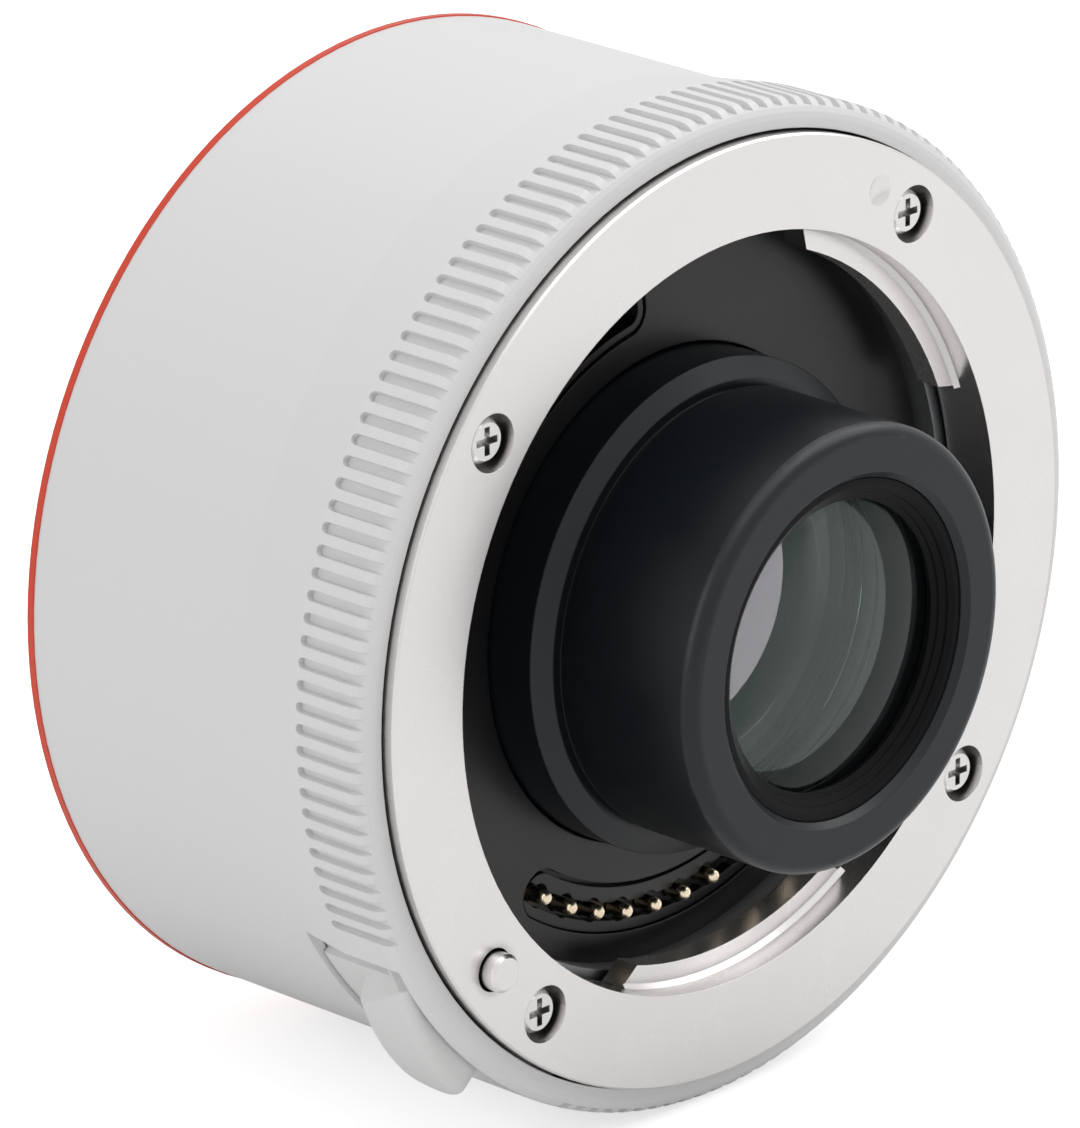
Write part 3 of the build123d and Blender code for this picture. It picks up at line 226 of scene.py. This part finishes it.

# %% Corner group
# A mask from ambient occlusion that rises towards 1 in a slot or a pocket, used to paint shade into
# a colour
recess_shade_group, given, result = start_group("painted_recess_shade", [("Reach mm", 0.5), ("Gain", 1.5)], ["Mask"])
openness = add_node(recess_shade_group, "ShaderNodeAmbientOcclusion", samples=6)
feed(recess_shade_group, maths(recess_shade_group, "MULTIPLY", given["Reach mm"], mm), openness.inputs["Distance"])
closed = maths(recess_shade_group, "SUBTRACT", 1, openness.outputs["AO"])
feed(recess_shade_group, maths(recess_shade_group, "MULTIPLY", closed, given["Gain"], clamp=True), result["Mask"])
print("Group made:", recess_shade_group.name)

# %% Lathe ring group
# The faint rings that a lathe leaves round the optical axis
turning, given, result = start_group("lathe_rings", [("Pitch mm", 0.05), ("Waver", 0.3)], ["Height"])
place = add_node(turning, "ShaderNodeTexCoord").outputs["Object"]
parts = add_node(turning, "ShaderNodeSeparateXYZ")
feed(turning, place, parts.inputs["Vector"])
across = maths(turning, "MULTIPLY", parts.outputs["X"], parts.outputs["X"])
upward = maths(turning, "MULTIPLY", parts.outputs["Z"], parts.outputs["Z"])
radius = maths(turning, "SQRT", maths(turning, "ADD", across, upward))
along = maths(turning, "ADD", radius, parts.outputs["Y"])
turn = maths(turning, "ARCTAN2", parts.outputs["Z"], parts.outputs["X"])
ring_place = add_node(turning, "ShaderNodeCombineXYZ")
pitches = maths(turning, "DIVIDE", along, maths(turning, "MULTIPLY", given["Pitch mm"], mm))
feed(turning, pitches, ring_place.inputs["X"])
feed(turning, maths(turning, "MULTIPLY", turn, given["Waver"]), ring_place.inputs["Y"])
ring_noise = add_node(turning, "ShaderNodeTexNoise", noise_dimensions="2D")
feed(turning, ring_place.outputs["Vector"], ring_noise.inputs["Vector"])
feed(turning, 1.0, ring_noise.inputs["Scale"])
feed(turning, 2.0, ring_noise.inputs["Detail"])
feed(turning, ring_noise.outputs["Fac"], result["Height"])
print("Group made:", turning.name)

# %% [markdown]
# ## Starting a material
# Every finish here begins in the same way: a Principled BSDF, its plain values set on its own
# sockets, and then the parts that change over the surface joined in. One function does the first
# half, and each finish below does the second half in its own cell.

# %% Helpers that start a material and add relief
def start_material(name, **values):
    """A material with one Principled BSDF. Underscores stand for the spaces in socket names."""
    material = bpy.data.materials.new(name)
    material.use_nodes = True
    tree = material.node_tree
    tree.nodes.clear()
    shader = add_node(tree, "ShaderNodeBsdfPrincipled")
    ending = add_node(tree, "ShaderNodeOutputMaterial")
    tree.links.new(shader.outputs["BSDF"], ending.inputs["Surface"])
    for label, value in values.items():
        shader.inputs[label.replace("_", " ")].default_value = value
    return material, tree, shader.inputs


def add_relief(tree, sockets, height, depth, over=None):
    """Bumps of a depth in metres, from a height that runs from 0 to 1, over rounded edges."""
    relief = add_node(tree, "ShaderNodeBump")
    relief.inputs["Distance"].default_value = depth
    feed(tree, height, relief.inputs["Height"])
    if over:
        feed(tree, over, relief.inputs["Normal"])
    feed(tree, relief.outputs["Normal"], sockets["Normal"])


finishes = {}
print("Material helpers ready")

# %% [markdown]
# ## Off-white barrel paint
# The barrel is metal under a hard satin paint, sprayed off-white because that takes up less of
# the sun's heat than black does. Sprayed paint is never glassy: it has a fine skin of tiny bumps
# that breaks up the highlight. Its colour is made slightly lighter along edges.

# %% A helper for sprayed coats
def paint_finish(name, colour, edge_colour, rough_low, rough_high, grain_depth):
    """A sprayed coat: fine bumps, slow changes of shine and slightly lighter edges."""
    material, tree, sockets = start_material(name)
    bumps = place_group(tree, grain, Size_mm=0.16, Softness=0.6)["Height"]
    slow = place_group(tree, cloud, Size_mm=7.0, Contrast=1.4)["Mask"]
    edge = place_group(tree, edges, Width_mm=0.1, Gain=1.6)
    feed(tree, blend_colours(tree, edge["Mask"], colour, edge_colour), sockets["Base Color"])
    feed(tree, spread(tree, slow, rough_low, rough_high), sockets["Roughness"])
    add_relief(tree, sockets, bumps, grain_depth, over=edge["Normal"])
    return material


print("Paint helper ready")

# %% Barrel paint and lever plastic
finishes["barrel_paint"] = paint_finish(
    "satin_white_paint",
    colour=(0.79, 0.79, 0.79, 1),
    edge_colour=(0.84, 0.84, 0.84, 1),
    rough_low=0.36,
    rough_high=0.46,
    grain_depth=0.006 * mm,
)
finishes["lever_plastic"] = paint_finish(
    "satin_white_plastic",
    colour=(0.78, 0.78, 0.775, 1),
    edge_colour=(0.84, 0.84, 0.83, 1),
    rough_low=0.38,
    rough_high=0.5,
    grain_depth=0.004 * mm,
)
print("Finishes:", list(finishes))

# %% [markdown]
# ## Red ring
# A thin aluminium ring, dyed red after anodising, sits in the seam at the camera side. Dyed oxide
# is see-through, so a faint metal sheen stays under the colour: part metallic and fairly smooth.

# %% Red anodised ring
material, tree, sockets = start_material("red_anodised_ring", Metallic=0.15)
rings = place_group(tree, turning, Pitch_mm=0.05, Waver=0.4)["Height"]
red_low, red_high = (0.62, 0.045, 0.02, 1), (0.78, 0.08, 0.035, 1)
feed(tree, blend_colours(tree, rings, red_low, red_high), sockets["Base Color"])
feed(tree, spread(tree, rings, 0.3, 0.42), sockets["Roughness"])
add_relief(tree, sockets, rings, 0.002 * mm)
finishes["red_trim"] = material
print("Finish:", material.name)

# %% [markdown]
# ## Mount steel
# The bayonet is turned from brass or steel, plated and finely polished, because a lens slides over
# it thousands of times. Polishing leaves very faint rings about the axis and a mirror that is just
# soft enough to blur the room. Its colour is a warm silver, with painted shade that darkens it
# where an occlusion mask finds a recess: in the screws' crosses, round their heads and in narrow
# gaps.

# %% A helper for worked metal
cloudy_share = 0.96
# How dark the painted shade in recesses makes the metal's colour
recess_shade_share = 0.2


def steel_finish(name, colour, rough_low, rough_high, ring_depth, pitch_mm, reach_mm):
    """Worked metal with faint rings, bright where it was polished, and painted shade that darkens
    its colour in recesses.
    """
    material, tree, sockets = start_material(name, Metallic=1.0)
    rings = place_group(tree, turning, Pitch_mm=pitch_mm, Waver=0.5)["Height"]
    slow = place_group(tree, cloud, Size_mm=5.0, Contrast=1.6)["Mask"]
    # Painted shade: the occlusion mask darkens the colour in recesses
    recess_shade = place_group(tree, recess_shade_group, Reach_mm=reach_mm, Gain=1.25)["Mask"]
    edge = place_group(tree, edges, Width_mm=0.06, Gain=1.0)
    cloudy = tuple(cloudy_share * part for part in colour[:3]) + (1,)
    recess_shade_colour = tuple(recess_shade_share * part for part in colour[:3]) + (1,)
    bright = blend_colours(tree, slow, cloudy, colour)
    feed(tree, blend_colours(tree, recess_shade, bright, recess_shade_colour), sockets["Base Color"])
    feed(tree, spread(tree, slow, rough_low, rough_high), sockets["Roughness"])
    add_relief(tree, sockets, rings, ring_depth, over=edge["Normal"])
    return material


print("Metal helper ready")

# %% Steel and alloy finishes
finishes["mount_steel"] = steel_finish(
    "polished_mount_steel",
    colour=(0.87, 0.845, 0.84, 1),
    rough_low=0.24,
    rough_high=0.3,
    ring_depth=0.0003 * mm,
    pitch_mm=0.06,
    reach_mm=0.7,
)
finishes["screw_steel"] = steel_finish(
    "bright_screw_steel",
    colour=(0.84, 0.83, 0.81, 1),
    rough_low=0.16,
    rough_high=0.26,
    ring_depth=0.001 * mm,
    pitch_mm=0.09,
    reach_mm=0.5,
)
finishes["spring_steel"] = steel_finish(
    "blue_grey_spring_steel",
    colour=(0.52, 0.53, 0.55, 1),
    rough_low=0.26,
    rough_high=0.4,
    ring_depth=0.001 * mm,
    pitch_mm=0.05,
    reach_mm=0.3,
)
finishes["frame_alloy"] = steel_finish(
    "cast_frame_alloy",
    colour=(0.42, 0.43, 0.44, 1),
    rough_low=0.42,
    rough_high=0.6,
    ring_depth=0.004 * mm,
    pitch_mm=0.3,
    reach_mm=1.0,
)
print("Finishes:", list(finishes))

# %% [markdown]
# ## Black paint and black plastic
# Inside a mount everything is black, so that stray light dies. The nose barrel is metal under a
# matte lacquer with a cool tint, and the plate round it is moulded plastic, slightly warmer and
# finely grained. Both get a painted highlight, a little grey on their edges, or their shapes
# would sink into the dark.

# %% A helper for matte black
def black_finish(name, colour, edge_colour, rough_low, rough_high, grain_size, grain_depth, gloss):
    """Matte black with fine grain, slow changes of shine and a painted highlight of paler edges."""
    material, tree, sockets = start_material(name, Specular_IOR_Level=gloss)
    bumps = place_group(tree, grain, Size_mm=grain_size, Softness=0.55)["Height"]
    slow = place_group(tree, cloud, Size_mm=6.0, Contrast=1.5)["Mask"]
    # Painted highlight: the edge mask lightens the colour along every edge
    edge = place_group(tree, edges, Width_mm=0.12, Gain=1.2)
    feed(tree, blend_colours(tree, edge["Mask"], colour, edge_colour), sockets["Base Color"])
    feed(tree, spread(tree, slow, rough_low, rough_high), sockets["Roughness"])
    add_relief(tree, sockets, bumps, grain_depth, over=edge["Normal"])
    return material


print("Black helper ready")

# %% Black finishes
finishes["black_paint"] = black_finish(
    "matte_black_lacquer",
    colour=(0.006, 0.008, 0.0105, 1),
    edge_colour=(0.018, 0.02, 0.022, 1),
    rough_low=0.28,
    rough_high=0.36,
    grain_size=0.12,
    grain_depth=0.003 * mm,
    gloss=0.4,
)
finishes["black_plastic"] = black_finish(
    "grained_black_plastic",
    colour=(0.004, 0.004, 0.0045, 1),
    edge_colour=(0.016, 0.016, 0.017, 1),
    rough_low=0.3,
    rough_high=0.4,
    grain_size=0.22,
    grain_depth=0.004 * mm,
    gloss=0.5,
)
finishes["front_retaining_ring"] = black_finish(
    "dead_black_lacquer",
    colour=(0.002, 0.002, 0.003, 1),
    edge_colour=(0.008, 0.008, 0.01, 1),
    rough_low=0.42,
    rough_high=0.5,
    grain_size=0.1,
    grain_depth=0.003 * mm,
    gloss=0.12,
)
print("Finishes:", list(finishes))

# %% [markdown]
# ## Gold contacts
# Spring contacts are plated with hard gold over nickel. The tips are rubbed by each lens, so the
# gold there is a little paler than on the shank.

# %% Gold plating
material, tree, sockets = start_material("hard_gold_plate", Metallic=1.0)
slow = place_group(tree, cloud, Size_mm=0.8, Contrast=2.0)["Mask"]
rubbed = place_group(tree, edges, Width_mm=0.12, Gain=2.5)["Mask"]
gold = blend_colours(tree, slow, (0.9, 0.74, 0.5, 1), (0.96, 0.85, 0.66, 1))
feed(tree, blend_colours(tree, rubbed, gold, (0.98, 0.95, 0.88, 1)), sockets["Base Color"])
feed(tree, spread(tree, slow, 0.16, 0.3), sockets["Roughness"])
finishes["contact_gold"] = material
print("Finish:", material.name)

# %% [markdown]
# ## Board and cable
# The circuit board is glass-fibre laminate under a green lacquer, with its copper tracks showing
# through as paler bands. The cable is amber film with thin copper lines in it. Both are hidden
# when the parts are together, and they are there for whoever takes them apart.

# %% A helper for tracks under a lacquer
track_level = 0.62
track_depth = 0.004 * mm


def striped_finish(name, plain, striped, pitch, roughness):
    """A lacquered sheet with regular tracks showing through it."""
    material, tree, sockets = start_material(name, Roughness=roughness)
    place = add_node(tree, "ShaderNodeTexCoord").outputs["Object"]
    tracks = add_node(tree, "ShaderNodeTexWave", wave_type="BANDS", bands_direction="DIAGONAL")
    feed(tree, place, tracks.inputs["Vector"])
    feed(tree, 1 / pitch, tracks.inputs["Scale"])
    feed(tree, 0.4, tracks.inputs["Distortion"])
    sharp = maths(tree, "GREATER_THAN", tracks.outputs["Fac"], track_level)
    weave = place_group(tree, grain, Size_mm=0.3, Softness=0.4)["Height"]
    feed(tree, blend_colours(tree, sharp, plain, striped), sockets["Base Color"])
    add_relief(tree, sockets, maths(tree, "ADD", weave, sharp), track_depth)
    return material


print("Track helper ready")

# %% Laminate and film
finishes["board_laminate"] = striped_finish(
    "green_lacquered_board",
    plain=(0.012, 0.075, 0.035, 1),
    striped=(0.03, 0.15, 0.07, 1),
    pitch=3 * mm,
    roughness=0.35,
)
finishes["cable_film"] = striped_finish(
    "amber_cable_film",
    plain=(0.33, 0.13, 0.02, 1),
    striped=(0.5, 0.24, 0.07, 1),
    pitch=1.5 * mm,
    roughness=0.3,
)
print("Finishes:", list(finishes))

# %% [markdown]
# ## Coated glass
# Bare dense glass gives back about a tenth of the light at each surface, seen at a slant, and a
# coating cuts that to a few percent with a faint tint. The front group is the best coated, so it
# gets the index of a glass that would mirror as little, and a green tint. The two groups behind it
# get a high index and mirror more, so that the stack shows soft arcs and a bright side from the
# front. The last group has a thin film, for the faint colour that a coating shows from behind.

# %% Glass of each group
# Index, thickness of the film in nm, and tint
green_tint, violet_tint, no_tint = (0.7, 1, 0.86, 1), (1, 0.86, 1, 1), (1, 1, 1, 1)
glass_kinds = {
    "glass_group_1": (1.3, 0, green_tint),
    "glass_group_2": (2.4, 0, violet_tint),
    "glass_group_3": (2.4, 0, violet_tint),
    "glass_group_4": (1.8, 0, no_tint),
    "glass_group_5": (1.6, 350, green_tint),
}
print("Kinds of glass:", len(glass_kinds))


# %% A helper for clear glass
def glass_finish(name, index, film_nm, tint):
    """Clear glass, with a film unless that is 0 nm, and a trace of colour that drifts over it."""
    material, tree, sockets = start_material(
        name,
        Roughness=0.0,
        IOR=index,
        Specular_Tint=tint,
        Transmission_Weight=1.0,
        Thin_Film_Thickness=film_nm,
        Thin_Film_IOR=1.38,
    )
    slow = place_group(tree, cloud, Size_mm=5.0, Contrast=1.0)["Mask"]
    melt = blend_colours(tree, slow, (0.93, 0.965, 0.945, 1), (0.95, 0.975, 0.96, 1))
    feed(tree, melt, sockets["Base Color"])
    return material


print("Glass helper ready")

# %% Glass finishes
for node_name, values in glass_kinds.items():
    finishes[node_name] = glass_finish("coated_" + node_name, *values)
finishes["glass_edge"] = black_finish(
    "blackened_glass_edge",
    colour=(0.006, 0.006, 0.006, 1),
    edge_colour=(0.01, 0.01, 0.01, 1),
    rough_low=0.55,
    rough_high=0.7,
    grain_size=0.1,
    grain_depth=0.004 * mm,
    gloss=0.3,
)
print("Finishes:", list(finishes))

# %% [markdown]
# ## Ground and polished glass
# A packed lens is a mesh of flat facets, and glass shows every facet twice: in what it reflects
# and in what it bends. A real lens is the smoothest thing in the whole object. So each group is
# turned again inside its node's box, with many fine rings, smooth faces, a ground bevel at both
# rims and a blackened edge, and it stands for its node. Two inner curves differ from the solids,
# for the way they throw the light: group 1 has a slightly hollow rear, and group 2 a slightly
# domed front.

# %% A helper that turns a closed piece about the optical axis
def turned_piece(name, outline, sharp_rings, around=192):
    """A solid of revolution. The outline holds (radius, y) from the front's middle to the rear's."""
    shape = bmesh.new()
    circles = []
    for radius, y in outline:
        count = around if radius > 0 else 1
        angles = [2 * math.pi * k / around for k in range(count)]
        places = [(radius * math.cos(a), y, radius * math.sin(a)) for a in angles]
        circles.append([shape.verts.new(place) for place in places])
    for near, far in zip(circles, circles[1:]):
        for k in range(around):
            near_pair = [near[k % len(near)], near[(k + 1) % len(near)]]
            far_pair = [far[(k + 1) % len(far)], far[k % len(far)]]
            shape.faces.new(list(dict.fromkeys(near_pair + far_pair)))
    for face in shape.faces:
        face.smooth = True
    for index in sharp_rings:
        rim = set(circles[index])
        for edge in shape.edges:
            if edge.verts[0] in rim and edge.verts[1] in rim:
                edge.smooth = False
    bmesh.ops.recalc_face_normals(shape, faces=shape.faces)
    mesh = bpy.data.meshes.new(name)
    shape.to_mesh(mesh)
    shape.free()
    piece = bpy.data.objects.new(name, mesh)
    bpy.context.scene.collection.objects.link(piece)
    return piece


print("Turning helper ready")

# %% Curves of the five groups
# Front and rear curve, each as its radius in shares of the glass's own radius, with the curve's
# centre towards the camera side. 0 is flat
glass_curves = {
    "glass_group_1": (3.4, 5),
    "glass_group_2": (6, 0),
    "glass_group_3": (0, 2.4),
    "glass_group_4": (3.2, 0),
    "glass_group_5": (0, 4.0),
}
bevel = 0.12 * mm
edge_margin = 0.4 * bevel
fine_rings = 28


def fall_at(share, radius, reach):
    """How far a curve has fallen away from its middle at a distance from the axis."""
    return 0 if share == 0 else share * radius - math.sqrt((share * radius) ** 2 - reach**2)


def curve_points(share, radius, rim_radius, vertex):
    """(radius, y) along a curve from its middle to the rim."""
    reaches = [rim_radius * k / fine_rings for k in range(fine_rings + 1)]
    return [(reach, vertex + fall_at(share, radius, reach)) for reach in reaches]


print("Curves set for:", list(glass_curves))

# %% The five groups, turned and coated
for node_name, (front_share, rear_share) in glass_curves.items():
    low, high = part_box(node_name)
    radius = high[0]
    rear_vertex = high[1] - fall_at(rear_share, radius, radius)
    front = curve_points(front_share, radius, radius - bevel, low[1])
    rear = curve_points(rear_share, radius, radius - bevel, rear_vertex)
    rims = [(radius, front[-1][1] + bevel), (radius, rear[-1][1] - bevel)]
    outline = front + rims + rear[::-1]
    # The rims and the rings just inside them are sharp
    sharp_start = len(front) - 1
    sharp_rings = range(sharp_start, sharp_start + len(rims) + 2)
    piece = turned_piece("polished_" + node_name, outline, sharp_rings)
    piece.data.materials.append(finishes[node_name])
    piece.data.materials.append(finishes["glass_edge"])
    # Only the faces between the two bevels lie this close to the full radius
    for face in piece.data.polygons:
        reach = math.hypot(face.center[0], face.center[2])
        face.material_index = 1 if reach > radius - edge_margin else 0
    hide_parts(node_name)
    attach(piece, "body")
    print("Turned:", piece.name, "radius", round(radius / mm, 2), "mm")

# %% [markdown]
# ## Putting the finishes on
# Each node came in with a material named after its slot in the record. A node whose own name is in
# the table takes that finish, and the rest take the finish of their slot.

# %% Assign a finish to every slot
for name, piece in nodes.items():
    for slot in piece.material_slots:
        base = slot.material.name.split(".")[0]
        slot.material = finishes[name] if name in finishes else finishes[base]
print("Dressed:", len(nodes))

# %% [markdown]
# ## Floor
# The photograph has a white ground. A pale sheet that goes far beyond the view gives that from
# every side, and it keeps the soft shadow that tells how the object stands. A lift for the rays
# that the camera sees, straight or through glass, brings the lit floor up to white without more
# light on the object. Metal sees the floor nearly as it is lit, or the ring would lose its greys.

# %% Floor sheet under the lowest point
lowest = cad_box[0][2]
floor_gap = 0.02 * mm
floor_half_side = 4.0
floor_mesh = bpy.data.meshes.new("paper_sheet")
sheet = bmesh.new()
bmesh.ops.create_grid(sheet, x_segments=8, y_segments=8, size=floor_half_side)
sheet.to_mesh(floor_mesh)
sheet.free()
floor = bpy.data.objects.new("paper_sheet", floor_mesh)
floor.location = (0, 0, lowest - floor_gap)
bpy.context.scene.collection.objects.link(floor)
print("Floor at z", round(floor.location.z / mm, 2), "mm")

# %% White paper on the floor
white_lift = 0.6
mirror_lift = 0.04
material, tree, sockets = start_material("white_paper", Roughness=0.9)
fibres = place_group(tree, grain, Size_mm=1.2, Softness=0.6)["Height"]
paper = blend_colours(tree, fibres, (0.86, 0.86, 0.86, 1), (0.88, 0.88, 0.88, 1))
feed(tree, paper, sockets["Base Color"])
sockets["Emission Color"].default_value = (1, 1, 1, 1)
rays = add_node(tree, "ShaderNodeLightPath").outputs
seen = maths(tree, "ADD", rays["Is Camera Ray"], rays["Is Transmission Ray"], clamp=True)
mirrored = maths(tree, "MULTIPLY", rays["Is Glossy Ray"], mirror_lift)
lift = maths(tree, "MULTIPLY_ADD", seen, white_lift, mirrored)
feed(tree, lift, sockets["Emission Strength"])
floor_mesh.materials.append(material)
print("Finish:", material.name)

# %% [markdown]
# ## Light
# A white room with large soft boxes above and to the right and a weaker one to the left gives the
# photograph's look: a pale top, soft grey on the shaded side and no hard shadow. The room is as
# bright as white where the camera, metal and glass see it, and weaker as a lamp, so that paint
# keeps its colour.

# %% White room
world = bpy.data.worlds.new("white_room")
bpy.context.scene.world = world
world.use_nodes = True
room = world.node_tree
room.nodes.clear()
room_light = 0.57
room_seen = 1.0
glow = add_node(room, "ShaderNodeBackground")
room_end = add_node(room, "ShaderNodeOutputWorld")
room.links.new(glow.outputs["Background"], room_end.inputs["Surface"])
rays = add_node(room, "ShaderNodeLightPath").outputs
seen = maths(room, "ADD", rays["Is Camera Ray"], rays["Is Glossy Ray"], clamp=True)
seen = maths(room, "ADD", seen, rays["Is Transmission Ray"], clamp=True)
feed(room, spread(room, seen, room_light, room_seen), glow.inputs["Strength"])
print("Room as a lamp:", room_light, "and as seen:", room_seen)

# %% Soft boxes
lamp_distance = 0.9


def soft_box(name, azimuth, elevation, width, height, power):
    """An area lamp, its power in watts, that looks at the object from a direction in degrees."""
    lamp = bpy.data.lights.new(name, "AREA")
    lamp.shape = "RECTANGLE"
    lamp.size = width
    lamp.size_y = height
    lamp.energy = power
    holder = bpy.data.objects.new(name, lamp)
    turn, lift = math.radians(azimuth), math.radians(elevation)
    way = Vector((math.sin(turn) * math.cos(lift), -math.cos(turn) * math.cos(lift), math.sin(lift)))
    holder.location = ring_face + lamp_distance * way
    holder.rotation_euler = way.to_track_quat("Z", "Y").to_euler()
    bpy.context.scene.collection.objects.link(holder)


soft_box("top_box", azimuth=-20, elevation=78, width=0.9, height=0.9, power=2.5)
soft_box("right_box", azimuth=75, elevation=50, width=0.8, height=0.8, power=3.3)
soft_box("left_box", azimuth=-100, elevation=15, width=0.5, height=0.9, power=1.65)
